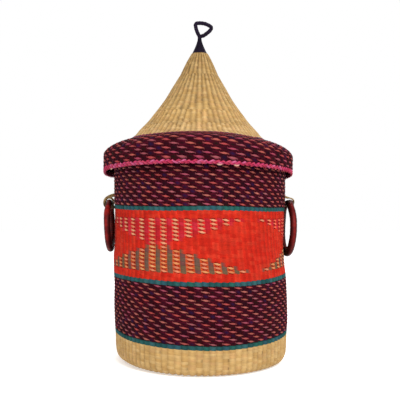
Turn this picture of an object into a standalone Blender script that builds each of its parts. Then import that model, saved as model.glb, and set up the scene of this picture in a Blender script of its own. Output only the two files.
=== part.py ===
"""Lidded laundry basket of twined grass, with a peaked lid, a leather finial and two leather ring handles.

Metres, Z up, the origin in the middle of the flat foot.
The walls are built in three layers, as the real ones are: an outer weave, upright stakes, and an inner weave.
"""

import math

import bmesh
import bpy
from mathutils import Vector

for old in list(bpy.data.objects):
    bpy.data.objects.remove(old, do_unlink=True)

# Body, outside
BODY_RADIUS = 0.1865
FOOT_INSET = 0.0215
CORNER_HEIGHT = 0.020
NATURAL_TOP = 0.058
TEAL_ROW = 0.008
LOW_FLECK_HEIGHT = 0.1167
DIAMOND_HEIGHT = 0.1365
HIGH_FLECK_HEIGHT = 0.1138
RIM_BULGE = 0.0006
RIM_ROUND = 0.002

# Layers of every wall, as depths under the outer face
WEAVE_THICKNESS = 0.0026
STAKE_DEPTH = 0.0035
STAKE_THICKNESS = 0.0018
LINING_DEPTH = 0.0058
LINING_THICKNESS = 0.0024
STAKE_WIDTH = 0.0045
ROW_GAP = 0.0003

# Lid, outside: how far it stands out over the body, and how far the top of its skirt lies under the body's top row
LID_OVERHANG = 0.0185
SKIRT_DROP = 0.003
SKIRT_HEIGHT = 0.0355
EDGE_BRAID_HEIGHT = 0.007
EDGE_BRAID_BULGE = 0.0012
EDGE_BRAID_ROUND = 0.0022
BRIM_RISE = 0.0374
CONE_RISE = 0.1846
# Knots of the brim from the skirt to the foot of the cone: radius over the skirt's, rise over BRIM_RISE
BRIM_SHARES = ((1.0, 0.0), (0.971, 0.38), (0.8424, 0.765), (0.717, 1.0))
# Knots of the cone above its foot: radius over the foot's, rise over CONE_RISE
CONE_SHARES = ((0.942, 0.030), (0.748, 0.191), (0.569, 0.382), (0.381, 0.621), (0.217, 0.859), (0.120, 1.0))
SEAT_GAP = 0.0003

# Stakes
BODY_STAKES = 90
HUB_RADIUS = 0.075
LID_STAKES = 76
STAKE_RING_HEIGHT = 0.004
STAKE_END_GAP = 0.001

# Finial
CAP_FOOT_RADIUS = 0.0162
CAP_HEIGHT = 0.034
# Knots of the cap above its foot: radius over CAP_FOOT_RADIUS, rise over CAP_HEIGHT
CAP_SHARES = ((1.0, 0.0), (0.98, 0.06), (0.74, 0.27), (0.49, 0.53), (0.30, 0.80), (0.24, 1.0))
LOOP_TUBE_RADIUS = 0.0040
LOOP_WIDTH = 0.0425
LOOP_HEIGHT = 0.0380
# Middle line of the loop, as shares of its free width and height, from its foot
LOOP_SHARES = (
    (0.267, 0.0), (0.50, 0.06), (0.80, 0.30), (1.0, 0.567), (0.99, 0.70), (0.86, 0.81),
    (0.64, 0.927), (0.287, 1.0), (0.08, 0.973), (0.0, 0.847), (0.049, 0.553), (0.159, 0.223),
)

# Ring handles and the grass loops that hold them, hung PIVOT_DROP under the lid's edge
RING_RADIUS = 0.0525
RING_TUBE_RADIUS = 0.0065
PIVOT_DROP = 0.061
LEATHER_THICKNESS = 0.0013
CORE_GAP = 0.0004
SEAM_WIDTH = 0.0010
STRAP_THICKNESS = 0.0046
STRAP_WIDTH = 0.009
STRAP_EDGE = 0.0015
STRAP_SLACK = 0.0008

# How finely round things are divided
WALL_STEPS = 40
RING_STEPS = 30
LEATHER_STEPS = 8
CORE_STEPS = 6
STRAP_STEPS = 16
CAP_STEPS = 24
LOOP_SIDES = 8
CORNER_STEPS = 2
SMOOTH_ANGLE = math.radians(40)

# Finishes: base colour in linear light, roughness
STRAW = ((0.60, 0.43, 0.20, 1.0), 0.62)
FLECKED = ((0.30, 0.09, 0.09, 1.0), 0.58)
TEAL = ((0.035, 0.14, 0.14, 1.0), 0.60)
RED = ((0.56, 0.045, 0.020, 1.0), 0.55)
PURPLE = ((0.12, 0.035, 0.08, 1.0), 0.60)
PINK = ((0.66, 0.06, 0.16, 1.0), 0.60)
RING_LEATHER = ((0.09, 0.012, 0.008, 1.0), 0.42)
FINIAL_LEATHER = ((0.012, 0.010, 0.024, 1.0), 0.38)
STAKE_GRASS = ((0.42, 0.30, 0.15, 1.0), 0.70)


def finish(name, look):
    """A Principled material of one colour for one sub-part."""
    colour, roughness = look
    material = bpy.data.materials.new(name)
    material.use_nodes = True
    shader = material.node_tree.nodes["Principled BSDF"]
    shader.inputs["Base Color"].default_value = colour
    shader.inputs["Roughness"].default_value = roughness
    shader.inputs["Metallic"].default_value = 0.0
    material.diffuse_color = colour
    return material


def add(name, bm, look, origin=Vector((0, 0, 0))):
    """Closes off a bmesh as a named object whose origin is at the given point."""
    bmesh.ops.translate(bm, verts=bm.verts[:], vec=-origin)
    bmesh.ops.recalc_face_normals(bm, faces=bm.faces[:])
    if bm.calc_volume(signed=True) < 0:
        bmesh.ops.reverse_faces(bm, faces=bm.faces[:])
    for face in bm.faces:
        face.smooth = True
    mesh = bpy.data.meshes.new(name)
    bm.to_mesh(mesh)
    bm.free()
    mesh.set_sharp_from_angle(angle=SMOOTH_ANGLE)
    mesh.materials.append(finish(name, look))
    piece = bpy.data.objects.new(name, mesh)
    piece.location = origin
    bpy.context.scene.collection.objects.link(piece)
    return piece


def offset(line, depth):
    """An open line of (radius, height) knots moved to its left by depth, with mitred knots."""
    normals = []
    for start, end in zip(line, line[1:]):
        along = (Vector(end) - Vector(start)).normalized()
        normals.append(Vector((-along.y, along.x)))
    before = [normals[0]] + normals
    after = normals + [normals[-1]]
    moved = []
    for knot, one, two in zip(line, before, after):
        moved.append(Vector(knot) + (one + two) * (depth / (1 + one.dot(two))))
    return moved


def piece_of(line, first, last, gap):
    """The knots first to last of a line, with both ends drawn in by half a gap, but not at the axis."""
    knots = [Vector(knot) for knot in line[first : last + 1]]
    for end, inner in ((0, 1), (-1, -2)):
        if knots[end].x > 0:
            knots[end] += (knots[inner] - knots[end]).normalized() * (gap / 2)
    return knots


def lathe(section, steps, about=Vector((0, 0, 0)), axis=Vector((0, 0, 1))):
    """Spins a closed section of points round an axis into one closed body."""
    bm = bmesh.new()
    verts = [bm.verts.new(point) for point in section]
    edges = [bm.edges.new(pair) for pair in zip(verts, verts[1:] + verts[:1])]
    bmesh.ops.spin(
        bm, geom=verts + edges, cent=about, axis=axis, angle=math.tau, steps=steps, use_merge=True, use_duplicate=False
    )
    bmesh.ops.remove_doubles(bm, verts=bm.verts[:], dist=MERGE_DISTANCE)
    bmesh.ops.dissolve_degenerate(bm, edges=bm.edges[:], dist=MERGE_DISTANCE)
    return bm


def upright(points):
    """Points of (radius, height) put into the plane in which a wall's section is drawn."""
    return [Vector((point[0], 0, point[1])) for point in points]


def wall(name, line, first, last, depth, thickness, look):
    """One layer of a wall between two knots of its outer line, as a closed ring or bowl."""
    outside = piece_of(offset(line, depth), first, last, ROW_GAP)
    inside = piece_of(offset(line, depth + thickness), first, last, ROW_GAP)
    return add(name, lathe(upright(outside + inside[::-1]), WALL_STEPS), look)


def height_on(line, radius):
    """The height at which a line of falling radii passes the given radius."""
    for low, high in zip(line, line[1:]):
        if high.x <= radius <= low.x and low.x > high.x:
            return low.y + (high.y - low.y) * (low.x - radius) / (low.x - high.x)
    raise ValueError("the line does not pass this radius")


def rounded(inner, outer, foot, top, bulge, corner):
    """A braid's section: a rounded bar between two radii and two heights, a little fuller at half height."""
    middle = (foot + top) / 2
    return upright(
        (
            (inner + corner, foot), (outer - corner, foot), (outer, foot + corner), (outer + bulge, middle),
            (outer, top - corner), (outer - corner, top), (inner + corner, top), (inner, middle),
        )
    )


def place(face, roles, angle, station):
    """Puts the four corners of a stake's end face at a station, given as its outer and inner points."""
    radial = Vector((math.cos(angle), math.sin(angle), 0))
    sideways = Vector((-math.sin(angle), math.cos(angle), 0))
    for vert, (layer, side) in zip(face.verts, roles):
        point = station[layer]
        vert.co = radial * point.x + sideways * (side * STAKE_WIDTH / 2) + Vector((0, 0, point.y))


def grow(bm, face, angle, roles, stations):
    """Extrudes a stake from a face along the stations."""
    for station in stations:
        face = bmesh.ops.extrude_discrete_faces(bm, faces=[face])["faces"][0]
        place(face, roles, angle, station)


def stake_roles(face, angle, inner_first):
    """Which layer and which side each corner of a starting face belongs to."""
    sideways = Vector((-math.sin(angle), math.cos(angle), 0))
    middle = face.calc_center_median()
    roles = []
    for vert in face.verts:
        away = vert.co - middle
        roles.append((1 if inner_first(away) else 0, 1 if away.dot(sideways) > 0 else -1))
    return roles


def toothed_circle(bm, radius, height, count):
    """A ring of points in which count stake widths alternate with the spaces between stakes."""
    half = math.asin(STAKE_WIDTH / 2 / radius)
    points = []
    for number in range(count):
        middle = math.tau * number / count
        for turn in (middle - half, middle + half):
            points.append(bm.verts.new((radius * math.cos(turn), radius * math.sin(turn), height)))
    return points


def stakes_of_body(name, line, look):
    """The stakes cross in the middle of the floor, run out under it and turn up the wall."""
    outer = offset(line, STAKE_DEPTH)
    inner = offset(line, STAKE_DEPTH + STAKE_THICKNESS)
    bm = bmesh.new()
    low = toothed_circle(bm, HUB_RADIUS, outer[0].y, BODY_STAKES)
    high = toothed_circle(bm, HUB_RADIUS, inner[0].y, BODY_STAKES)
    bm.faces.new(low[::-1])
    bm.faces.new(high)
    sides = []
    for here in range(2 * BODY_STAKES):
        there = (here + 1) % (2 * BODY_STAKES)
        sides.append(bm.faces.new((low[here], low[there], high[there], high[here])))
    stations = [(outer[knot], inner[knot]) for knot in range(1, CORNER_STEPS + 2)]
    wall_top = outer[-1].y - STAKE_END_GAP
    stations.append((Vector((outer[-1].x, wall_top)), Vector((inner[-1].x, wall_top))))
    for number in range(BODY_STAKES):
        angle = math.tau * number / BODY_STAKES
        face = sides[2 * number]
        grow(bm, face, angle, stake_roles(face, angle, lambda away: away.z > 0), stations)
    return add(name, bm, look)


def stakes_of_lid(name, line, look):
    """The stakes stand in a ring over the edge braid; every second one ends at each thinning of the cone."""
    outer = offset(line, STAKE_DEPTH)
    inner = offset(line, STAKE_DEPTH + STAKE_THICKNESS)
    foot = outer[0].y + STAKE_END_GAP
    bm = bmesh.new()
    rings = []
    for height in (foot, foot + STAKE_RING_HEIGHT):
        for points in (outer, inner):
            rings.append(toothed_circle(bm, points[0].x, height, LID_STAKES))
    low_outer, low_inner, high_outer, high_inner = rings
    tops = []
    for here in range(2 * LID_STAKES):
        there = (here + 1) % (2 * LID_STAKES)
        bm.faces.new((low_outer[here], low_outer[there], high_outer[there], high_outer[here]))
        bm.faces.new((low_inner[there], low_inner[here], high_inner[here], high_inner[there]))
        bm.faces.new((low_outer[there], low_outer[here], low_inner[here], low_inner[there]))
        tops.append(bm.faces.new((high_outer[here], high_outer[there], high_inner[there], high_inner[here])))
    brim_end = len(BRIM_SHARES)
    for number in range(LID_STAKES):
        angle = math.tau * number / LID_STAKES
        radial = Vector((math.cos(angle), math.sin(angle), 0))
        last = brim_end
        if number % 2 == 0:
            last = brim_end + 3
        if number % 4 == 0:
            last = brim_end + 5
        stations = [(outer[knot], inner[knot]) for knot in range(1, last + 1)]
        if last == brim_end + 5:
            stations[-1] = tuple(below.lerp(above, 0.5) for below, above in zip(stations[-2], stations[-1]))
        face = tops[2 * number]
        grow(bm, face, angle, stake_roles(face, angle, lambda away: away.dot(radial) < 0), stations)
    return add(name, bm, look)


def handle(side, name, height):
    """A ring of leather sewn round a core, hung at one side (1 is +X) from its grass loop at the given height."""
    strap_reach = RING_TUBE_RADIUS + STRAP_SLACK + STRAP_THICKNESS
    across = side * (BODY_RADIUS + ROW_GAP + strap_reach)
    pivot = Vector((across, 0, height))
    middle = pivot - Vector((0, 0, RING_RADIUS))
    bore = RING_TUBE_RADIUS - LEATHER_THICKNESS
    core = bore - CORE_GAP
    seam = math.asin(SEAM_WIDTH / 2 / bore)
    section = []
    for radius, turns in (
        (RING_TUBE_RADIUS, range(LEATHER_STEPS + 1)),
        (bore, range(LEATHER_STEPS, -1, -1)),
    ):
        for turn in turns:
            angle = -math.pi / 2 + seam + (math.tau - 2 * seam) * turn / LEATHER_STEPS
            section.append(pivot + Vector((radius * math.cos(angle), 0, radius * math.sin(angle))))
    leather = lathe(section, RING_STEPS, middle, Vector((1, 0, 0)))
    add("handle_leather_" + name, leather, RING_LEATHER, pivot)
    section = []
    for turn in range(CORE_STEPS):
        angle = math.tau * (turn + 0.5) / CORE_STEPS
        section.append(pivot + Vector((core * math.cos(angle), 0, core * math.sin(angle))))
    add("handle_core_" + name, lathe(section, RING_STEPS, middle, Vector((1, 0, 0))), STAKE_GRASS, pivot)
    strap_bore = RING_TUBE_RADIUS + STRAP_SLACK
    strap_middle = pivot + Vector((0, 0, STRAP_SLACK / 2))
    near = strap_bore
    far = strap_bore + STRAP_THICKNESS
    half = STRAP_WIDTH / 2
    section = []
    for radius, sideways in (
        (near, -half + STRAP_EDGE), (near, half - STRAP_EDGE), (near + STRAP_EDGE, half), (far - STRAP_EDGE, half),
        (far, half - STRAP_EDGE), (far, -half + STRAP_EDGE), (far - STRAP_EDGE, -half), (near + STRAP_EDGE, -half),
    ):
        section.append(strap_middle + Vector((0, sideways, radius)))
    add("handle_loop_" + name, lathe(section, STRAP_STEPS, strap_middle, Vector((0, 1, 0))), STRAW)


def finial_loop(name, foot_height, look):
    """A bent tube that closes on itself over the cap, flat in the plane of the handles."""
    width = LOOP_WIDTH - 2 * LOOP_TUBE_RADIUS
    height = LOOP_HEIGHT - 2 * LOOP_TUBE_RADIUS
    foot = Vector((-width * LOOP_SHARES[0][0], 0, foot_height + LOOP_TUBE_RADIUS))
    route = [foot + Vector((width * across, 0, height * up)) for across, up in LOOP_SHARES]
    bm = bmesh.new()
    rings = []
    for number, point in enumerate(route):
        along = (route[(number + 1) % len(route)] - route[number - 1]).normalized()
        aside = Vector((0, 1, 0)).cross(along)
        ring = []
        for side in range(LOOP_SIDES):
            angle = math.tau * side / LOOP_SIDES
            away = Vector((0, 1, 0)) * math.cos(angle) + aside * math.sin(angle)
            ring.append(bm.verts.new(point + away * LOOP_TUBE_RADIUS))
        rings.append(ring)
    for number, ring in enumerate(rings):
        following = rings[(number + 1) % len(rings)]
        for side in range(LOOP_SIDES):
            beside = (side + 1) % LOOP_SIDES
            bm.faces.new((ring[side], ring[beside], following[beside], following[side]))
    return add(name, bm, look)


MERGE_DISTANCE = ROW_GAP / 10
diamond_foot = NATURAL_TOP + TEAL_ROW + LOW_FLECK_HEIGHT + TEAL_ROW
rim_foot = diamond_foot + DIAMOND_HEIGHT + TEAL_ROW + HIGH_FLECK_HEIGHT
foot_radius = BODY_RADIUS - FOOT_INSET
body_line = [(0, 0), (foot_radius, 0)]
for step in range(1, CORNER_STEPS + 1):
    turn = math.pi / 2 * step / CORNER_STEPS
    body_line.append(
        (
            foot_radius + FOOT_INSET * math.sin(turn),
            CORNER_HEIGHT * (1 - math.cos(turn)),
        )
    )
wall_foot = len(body_line) - 1
for height in (
    NATURAL_TOP,
    NATURAL_TOP + TEAL_ROW,
    NATURAL_TOP + TEAL_ROW + LOW_FLECK_HEIGHT,
    diamond_foot,
    diamond_foot + DIAMOND_HEIGHT,
    diamond_foot + DIAMOND_HEIGHT + TEAL_ROW,
    rim_foot,
):
    body_line.append((BODY_RADIUS, height))

lid_radius = BODY_RADIUS + LID_OVERHANG
skirt_top = rim_foot - SKIRT_DROP
edge_top = skirt_top - SKIRT_HEIGHT
edge_foot = edge_top - EDGE_BRAID_HEIGHT
cone_foot_radius = lid_radius * BRIM_SHARES[-1][0]
cone_foot_height = skirt_top + BRIM_RISE
lid_line = [(lid_radius, edge_top)]
lid_line += [(lid_radius * across, skirt_top + BRIM_RISE * up) for across, up in BRIM_SHARES]
lid_line += [(cone_foot_radius * across, cone_foot_height + CONE_RISE * up) for across, up in CONE_SHARES]
lid_line.append((0, lid_line[-1][1]))
brim_last = len(BRIM_SHARES)

# Body
wall("base_floor", body_line, 0, 1, 0, WEAVE_THICKNESS, STRAW)
wall("base_corner", body_line, 1, wall_foot, 0, WEAVE_THICKNESS, STRAW)
wall("base_band_natural", body_line, wall_foot, wall_foot + 1, 0, WEAVE_THICKNESS, STRAW)
wall("teal_line_low", body_line, wall_foot + 1, wall_foot + 2, 0, WEAVE_THICKNESS, TEAL)
wall("fleck_band_low", body_line, wall_foot + 2, wall_foot + 3, 0, WEAVE_THICKNESS, FLECKED)
wall("teal_line_mid", body_line, wall_foot + 3, wall_foot + 4, 0, WEAVE_THICKNESS, TEAL)
wall("diamond_band", body_line, wall_foot + 4, wall_foot + 5, 0, WEAVE_THICKNESS, RED)
wall("teal_line_high", body_line, wall_foot + 5, wall_foot + 6, 0, WEAVE_THICKNESS, TEAL)
wall("fleck_band_high", body_line, wall_foot + 6, wall_foot + 7, 0, WEAVE_THICKNESS, FLECKED)
body_lining = body_line[: wall_foot + 1] + [body_line[-1]]
wall("body_inner_floor", body_lining, 0, 1, LINING_DEPTH, LINING_THICKNESS, STRAW)
wall("body_inner_corner", body_lining, 1, wall_foot, LINING_DEPTH, LINING_THICKNESS, STRAW)
wall("body_inner_weave", body_lining, wall_foot, wall_foot + 1, LINING_DEPTH, LINING_THICKNESS, FLECKED)
stakes_of_body("body_stakes", body_line, STAKE_GRASS)
lid_underside = offset(lid_line, LINING_DEPTH + LINING_THICKNESS)
rim_top = height_on(lid_underside, BODY_RADIUS - RIM_ROUND) - SEAT_GAP
rim_inner = BODY_RADIUS - LINING_DEPTH - LINING_THICKNESS
rim_section = rounded(rim_inner, BODY_RADIUS, rim_foot + ROW_GAP / 2, rim_top, RIM_BULGE, RIM_ROUND)
add("body_rim_braid", lathe(rim_section, WALL_STEPS), PURPLE)

# Handles with their loops
handle(-1, "left", edge_foot - PIVOT_DROP)
handle(1, "right", edge_foot - PIVOT_DROP)

# Lid
wall("lid_skirt_band", lid_line, 0, 1, 0, WEAVE_THICKNESS, FLECKED)
wall("lid_brim_band", lid_line, 1, brim_last, 0, WEAVE_THICKNESS, FLECKED)
wall("lid_border_row", lid_line, brim_last, brim_last + 1, 0, WEAVE_THICKNESS, PURPLE)
wall("lid_cone_weave", lid_line, brim_last + 1, len(lid_line) - 1, 0, WEAVE_THICKNESS, STRAW)
wall("lid_inner_skirt", lid_line, 0, 1, LINING_DEPTH, LINING_THICKNESS, FLECKED)
wall("lid_inner_brim", lid_line, 1, brim_last, LINING_DEPTH, LINING_THICKNESS, FLECKED)
wall("lid_inner_cone", lid_line, brim_last, len(lid_line) - 1, LINING_DEPTH, LINING_THICKNESS, STRAW)
stakes_of_lid("lid_stakes", lid_line, STAKE_GRASS)
lid_inner_radius = lid_radius - LINING_DEPTH - LINING_THICKNESS
edge_section = rounded(
    lid_inner_radius, lid_radius, edge_foot, edge_top - ROW_GAP / 2, EDGE_BRAID_BULGE, EDGE_BRAID_ROUND
)
add("lid_edge_braid", lathe(edge_section, WALL_STEPS), PINK)

# Finial
cap_foot = lid_line[-1][1] + ROW_GAP
cap_line = [(0, cap_foot)]
cap_line += [(CAP_FOOT_RADIUS * across, cap_foot + CAP_HEIGHT * up) for across, up in CAP_SHARES]
cap_line.append((0, cap_foot + CAP_HEIGHT))
add("finial_cap", lathe(upright(cap_line), CAP_STEPS), FINIAL_LEATHER)
finial_loop("finial_loop", cap_foot + CAP_HEIGHT + ROW_GAP, FINIAL_LEATHER)
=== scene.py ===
"""The lidded laundry basket dressed: twined grass rows, braids, leather rings and finial, camera and light.

Lengths are in metres. Angles round the basket start at its front and grow towards +X. A wall is a line of
(radius, height) points turned round the middle. Every strand is a tube, the tubes of one piece are gathered
into a mesh, and a warp makes that mesh uneven.
"""

import math
from types import SimpleNamespace

import bpy
import numpy as np
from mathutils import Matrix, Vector


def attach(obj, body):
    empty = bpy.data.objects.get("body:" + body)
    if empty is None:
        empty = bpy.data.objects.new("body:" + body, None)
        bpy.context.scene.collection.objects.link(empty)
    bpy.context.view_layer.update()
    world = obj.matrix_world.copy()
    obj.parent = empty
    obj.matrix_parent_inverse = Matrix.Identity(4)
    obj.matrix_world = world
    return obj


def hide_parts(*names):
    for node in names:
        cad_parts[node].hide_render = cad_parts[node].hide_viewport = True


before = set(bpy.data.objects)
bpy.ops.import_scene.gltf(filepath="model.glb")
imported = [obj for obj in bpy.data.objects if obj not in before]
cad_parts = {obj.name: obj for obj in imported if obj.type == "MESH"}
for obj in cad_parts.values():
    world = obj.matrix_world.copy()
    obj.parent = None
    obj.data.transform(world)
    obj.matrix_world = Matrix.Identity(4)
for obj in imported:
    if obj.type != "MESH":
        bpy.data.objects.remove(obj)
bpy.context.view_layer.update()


# Camera
def put_in_scene(name, data):
    thing = bpy.data.objects.new(name, data)
    bpy.context.scene.collection.objects.link(thing)
    return thing


camera_data = bpy.data.cameras.new("camera")
camera_data.lens = 63.27
camera_data.sensor_width = 36.0
camera_data.clip_start = 0.05
camera = put_in_scene("camera", camera_data)
camera.location = (0.0009, -1.547, 0.347)
camera.rotation_euler = (math.radians(90), 0, 0)
bpy.context.scene.camera = camera


# Small helpers
TAU = math.tau
MM = 0.001
UP = np.array([0, 0, 1.0])
X_AXIS, Y_AXIS = np.eye(3)[:2]
rng = np.random.default_rng(7)


def unit(value):
    """A value kept between 0 and 1."""
    return np.clip(value, 0, 1)


def bell(value, width):
    """1 at 0, and smoothly less on both sides of it."""
    return np.exp(-((value / width) ** 2))


def wrapped(angle):
    """An angle brought to within half a turn of 0."""
    return np.angle(np.exp(1j * angle))


def circle(count):
    """Angles in even steps round a circle."""
    return np.arange(count) * TAU / count


def outward_at(theta):
    """Level unit vectors out from the basket's middle."""
    return np.stack([np.sin(theta), -np.cos(theta), 0 * theta], -1)


# Colours
def lin(r, g, b):
    """Linear light from a colour on screen, 0 to 255."""
    c = np.array((r, g, b)) / 255.0
    return np.where(c <= 0.04045, c / 12.92, ((c + 0.055) / 1.055) ** 2.4)


def shades(*colours):
    return [lin(*colour) for colour in colours]


STRAW = shades((242, 197, 126), (236, 190, 118), (246, 202, 133), (230, 182, 110), (240, 190, 122))
LOOP_STRAW = shades((196, 158, 102), (176, 136, 84), (212, 178, 122))
# The flecked bands: their flecks, the flecks' left ends, and the middles and ends of the dark strands
FLECK = shades(
    (216, 104, 98), (222, 124, 112), (202, 92, 114), (214, 112, 98), (198, 110, 116), (216, 92, 88)
)
FLECK_LID = shades((214, 94, 96), (220, 110, 98), (202, 82, 108), (212, 84, 86), (192, 96, 106))
FLECK_BRIM = shades((206, 78, 110), (190, 76, 124), (212, 96, 110), (180, 70, 104))
FLECK_END = shades((150, 60, 76), (136, 100, 92), (126, 44, 62), (156, 88, 84))
GROUND = shades(
    (30, 4, 14), (22, 14, 48), (14, 12, 10), (24, 20, 10), (36, 4, 18), (34, 20, 66), (20, 6, 16)
)
MAROON = shades((88, 10, 34), (76, 6, 24), (96, 12, 38), (68, 8, 30))
GROUND_BRIM = shades((112, 30, 66), (84, 34, 80), (130, 36, 70), (60, 14, 40), (96, 44, 84))
TEAL = shades((50, 106, 104), (62, 114, 116), (42, 94, 94), (54, 104, 114), (48, 112, 102))
# The red band: its ground, the flecks of its upper and lower triangles, and the grass beside those flecks
RED = shades((212, 48, 28), (209, 43, 26), (216, 56, 35), (206, 40, 24), (213, 51, 33))
PALE_HIGH = shades((250, 164, 122), (246, 150, 108), (250, 174, 130))
PALE_LOW = shades((250, 164, 104), (244, 148, 92), (250, 176, 116), (246, 150, 110))
CRIMSON = shades((212, 40, 52), (220, 48, 64), (202, 38, 42))
OLIVE = shades((134, 92, 72), (126, 100, 74), (130, 82, 76), (122, 94, 80))
# The border row and the rim, then the lid's edge braid, its large and its small specks
PURPLE = shades((132, 64, 96), (116, 76, 104), (162, 66, 98), (186, 78, 106), (128, 86, 108))
PINK = shades((238, 76, 126), (244, 112, 160), (220, 62, 100), (232, 70, 106), (238, 86, 120))
CREAM = shades((240, 186, 168), (230, 170, 150))
CORAL = shades((224, 110, 106), (214, 92, 84), (206, 80, 100))
# The stakes behind the straw, the dark and the red rows
STAKE_STRAW, STAKE_DARK, STAKE_RED = STRAW[3] * 0.55, lin(72, 8, 26), lin(160, 44, 26)

# A picked colour has at most this share of its palette colour's light
PICKED_LIGHT = 0.45


def pick(palette, count, spread):
    """Colours drawn from a palette. A wide spread makes a few of them darker than the rest."""
    chosen = np.array(palette)[rng.integers(0, len(palette), count)]
    return chosen * np.minimum(1 + rng.normal(0, spread, count), PICKED_LIGHT)[:, None]


# Mesh building
def skin_round(path, normal, tangent, out, over):
    """The points of rings round a path, out along its normal and over along its tangent."""
    return path[:, None, :] + normal[:, None, :] * out[..., None] + tangent[:, None, :] * over[..., None]


# A piece with more quads is made as several, because the export would thin it out
MOST_QUADS = 98000


class Store:
    """Gathers tubes and makes meshes of them, with a colour, a strand map and a bake map."""

    def __init__(self):
        self.tubes = []

    def tube(
        self, path, normal, tangent, half_n, half_t, paint, sides=6, closed=True, metres=1.0, section=None,
        skin=None,
    ):
        """Adds a tube that reaches half_n along the normal and half_t along the tangent, both ways.

        metres is its length for the fibres, section an outline other than an ellipse, skin all its points."""
        size = len(path)
        half_n = np.broadcast_to(half_n, (size,))
        half_t = np.broadcast_to(half_t, (size,))
        if skin is None:
            out, over = section or (np.cos(circle(sides)), np.sin(circle(sides)))
            skin = skin_round(path, normal, tangent, half_n[:, None] * out, half_t[:, None] * over)
        ahead = np.roll(path, -1, 0) - path
        if not closed:
            ahead[-1] = ahead[-2]
        forward = np.einsum("ij,ij->i", np.cross(normal, tangent), ahead).sum() > 0
        steps = size if closed else size - 1
        i, k = np.arange(steps)[:, None], np.arange(sides)[None, :]
        after, beside = (i + 1) % size, (k + 1) % sides
        corners = [i * sides + k, i * sides + beside, after * sides + beside, after * sides + k]
        places = [(i, k), (i, k + 1), (i + 1, k + 1), (i + 1, k)]
        if not forward:
            corners, places = corners[::-1], places[::-1]

        def per_quad(values):
            return np.stack([np.broadcast_to(value, (steps, sides)) for value in values], -1).reshape(-1, 4)

        u = per_quad([place[0] / steps for place in places])
        v = per_quad([place[1] / sides for place in places])
        girth = TAU * float(np.sqrt((half_n.mean() ** 2 + half_t.mean() ** 2) / 2))
        shift = rng.uniform(0, 9, 2)
        tube = dict(
            verts=skin.reshape(-1, 3),
            paint=np.repeat(paint, sides, 0) if paint.ndim == 2 else paint.reshape(-1, 3),
            quads=per_quad(corners),
            strand=np.stack([u * metres + shift[0], v * girth + shift[1]], -1).reshape(-1, 2),
            bake=np.stack([u, v * 0.94 + 0.03], -1).reshape(-1, 2),
        )
        self.tubes.append(tube)
        if not closed:
            self.cap(tube, 0, sides, forward)
            self.cap(tube, size - 1, sides, not forward)

    def cap(self, tube, end, sides, flip):
        """Closes an open tube's end with quads from side to side."""
        order = [end * sides + k for k in range(sides)]
        if flip:
            order = order[::-1]
        quads = [(order[k], order[k + 1], order[-k - 2], order[-k - 1]) for k in range(sides // 2 - 1)]
        spot = np.tile(((0.0, 0.1), (0.004, 0.1), (0.004, 0.5), (0.0, 0.5)), (len(quads), 1))
        for key, more in (("quads", quads), ("strand", spot), ("bake", spot)):
            tube[key] = np.concatenate([tube[key], more])

    def build(self, name, material, body, nodes, warp=None):
        """Makes one piece, or several where it would have too many quads."""
        total = sum(len(tube["quads"]) for tube in self.tubes)
        parts = math.ceil(total / MOST_QUADS)
        groups, done = [[] for _ in range(parts)], 0
        for tube in self.tubes:
            groups[min(done * parts // total, parts - 1)].append(tube)
            done += len(tube["quads"])
        for number, tubes in enumerate(groups):
            piece = mesh_piece(name if parts == 1 else f"{name}_{number + 1}", tubes, material, warp)
            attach(piece, body)
            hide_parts(*nodes)


def mesh_piece(name, tubes, material, warp):
    verts = np.concatenate([tube["verts"] for tube in tubes])
    if warp:
        verts = warp(verts)
    first = np.cumsum([0] + [len(tube["verts"]) for tube in tubes])
    quads = np.concatenate([tube["quads"] + base for tube, base in zip(tubes, first)])
    mesh = bpy.data.meshes.new(name)
    mesh.vertices.add(len(verts))
    mesh.vertices.foreach_set("co", verts.astype(np.float32).ravel())
    mesh.loops.add(quads.size)
    mesh.loops.foreach_set("vertex_index", quads.astype(np.int32).ravel())
    mesh.polygons.add(len(quads))
    mesh.polygons.foreach_set("loop_start", np.arange(0, quads.size, 4, dtype=np.int32))
    mesh.polygons.foreach_set("use_smooth", np.ones(len(quads), bool))
    paint = mesh.attributes.new("paint", "FLOAT_COLOR", "POINT")
    colour = np.ones((len(verts), 4), np.float32)
    colour[:, :3] = unit(np.concatenate([tube["paint"] for tube in tubes]))
    paint.data.foreach_set("color", colour.ravel())
    strand = np.concatenate([tube["strand"] for tube in tubes])
    # Each tube bakes into a strip of its own
    bake = np.concatenate([(tube["bake"] + (0, row)) / (1, len(tubes)) for row, tube in enumerate(tubes)])
    for layer, places in (("strand", strand), ("OFBake", bake)):
        mesh.uv_layers.new(name=layer).uv.foreach_set("vector", places.astype(np.float32).ravel())
    mesh.update(calc_edges=True)
    mesh.validate()
    mesh.materials.append(material)
    return put_in_scene(name, mesh)


# Materials
def fill(tree, inputs, values):
    """Sets a node's inputs, or links them to the outputs of other nodes."""
    for key, value in values.items():
        if isinstance(value, bpy.types.NodeSocket):
            tree.links.new(value, inputs[key])
        else:
            inputs[key].default_value = value


def add_node(tree, kind, output, values, **settings):
    """An output of a new shader node."""
    node = tree.nodes.new("ShaderNode" + kind)
    for key, value in settings.items():
        setattr(node, key, value)
    fill(tree, node.inputs, values)
    return node.outputs[output]


def new_material(name):
    material = bpy.data.materials.new(name)
    material.use_nodes = True
    tree = material.node_tree
    return material, tree, tree.nodes["Principled BSDF"].inputs


def noise(tree, place, detail, rough=0.55, scale=1):
    values = {"Scale": scale, "Detail": detail, "Roughness": rough, "Vector": place}
    return add_node(tree, "TexNoise", "Fac", values)


def stretch(tree, place, scale):
    return add_node(tree, "Mapping", "Vector", {"Scale": scale, "Vector": place})


def span(tree, value, low, high, start=0.0, end=1.0):
    """A value from start to end brought to low to high."""
    values = {"From Min": start, "From Max": end, "To Min": low, "To Max": high, "Value": value}
    return add_node(tree, "MapRange", "Result", values)


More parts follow.
